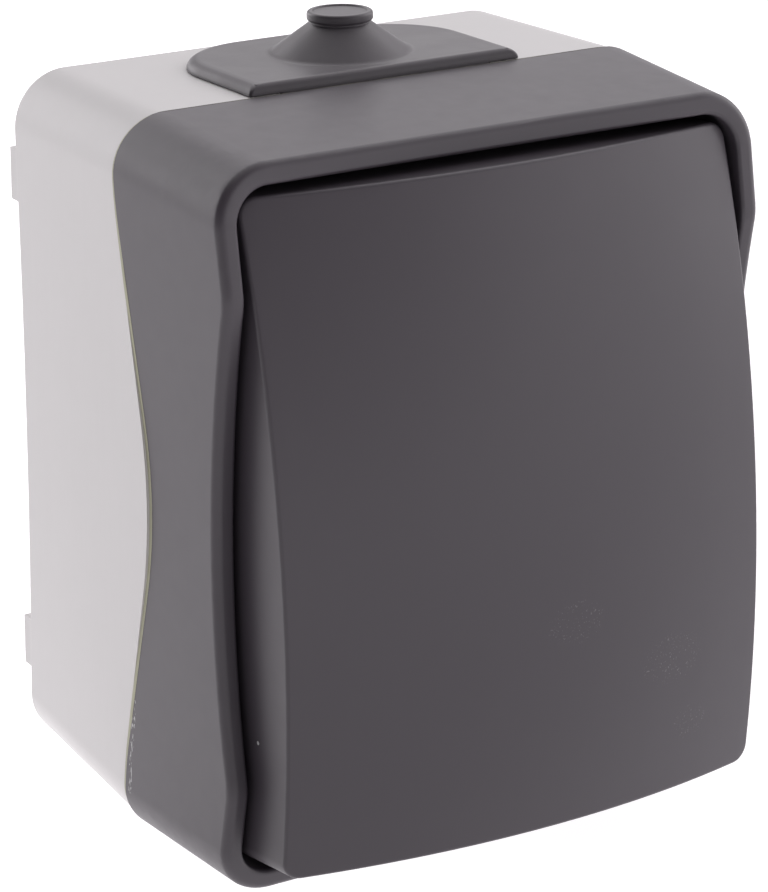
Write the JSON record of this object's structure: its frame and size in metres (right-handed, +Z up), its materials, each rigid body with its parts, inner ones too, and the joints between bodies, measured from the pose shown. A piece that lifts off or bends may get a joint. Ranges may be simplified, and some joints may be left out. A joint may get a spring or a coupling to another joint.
{
  "type": "outdoor weatherproof switch",
  "caption": "Surface-mounted weatherproof light switch: light box, dark frame with a wavy lip, crowned rocker that tilts about its middle, and a rubber cable entry on top.",
  "frame": {"origin": "centre of the four wall-fixing holes, on the wall plane where the stand-off pads rest", "axes": "+Y into the wall, so the rocker faces -Y; +Z up; +X to the right seen from the front"},
  "size_m": [0.0664, 0.06, 0.0855],
  "materials": {
    "light_shell": "fine satin moulded plastic, light grey",
    "dark_shell": "fine satin moulded plastic, dark grey",
    "gland_rubber": "matt moulded rubber, dark grey",
    "olive_seal": "soft sealing rubber, olive grey",
    "black_rubber": "soft sealing rubber, black",
    "white_moulding": "moulded plastic, off-white",
    "base_moulding": "moulded thermoset, grey",
    "strip_brass": "stamped brass strip",
    "contact_metal": "silver-coloured contact metal",
    "screw_steel": "zinc-plated steel",
    "spring_steel": "drawn spring wire"
  },
  "bodies": {
    "housing": {"back_box": "light_shell", "box_seal": "olive_seal", "cable_gland": "gland_rubber", "cover_frame": "dark_shell", "frame_screws": "screw_steel", "splash_seal": "black_rubber", "insert_cover": "white_moulding", "insert_screws": "screw_steel", "switch_base": "base_moulding", "common_terminal": "strip_brass", "terminal_one": "strip_brass", "terminal_two": "strip_brass", "fixed_contacts": "contact_metal", "terminal_clamps": "screw_steel", "terminal_screws": "screw_steel"},
    "rocker": {"rocker": "dark_shell", "toggle": "white_moulding", "toggle_spring": "spring_steel"},
    "plunger": {"plunger": "white_moulding"},
    "contact": {"contact_bridge": "strip_brass", "moving_contacts": "contact_metal"}
  },
  "joints": [
    {"name": "rocker_tilt", "type": "hinge", "parent": "housing", "child": "rocker", "pos_m": [0, -0.04375, 0], "axis": [1, 0, 0], "range_deg": [0, 14.2]},
    {"name": "plunger_slide", "type": "slide", "parent": "rocker", "child": "plunger", "axis": [0, -0.9923, 0.1236], "range_m": [0, 0.0005], "stiffness_N_per_m": 200, "deforming": ["toggle_spring"]},
    {"name": "bridge_tilt", "type": "hinge", "parent": "housing", "child": "contact", "pos_m": [0, -0.0171, 0], "axis": [1, 0, 0], "range_deg": [-10, 0]}
  ],
  "couplings": [
    {"joint": "bridge_tilt", "follows": "rocker_tilt", "ratio": -0.70422}
  ]
}
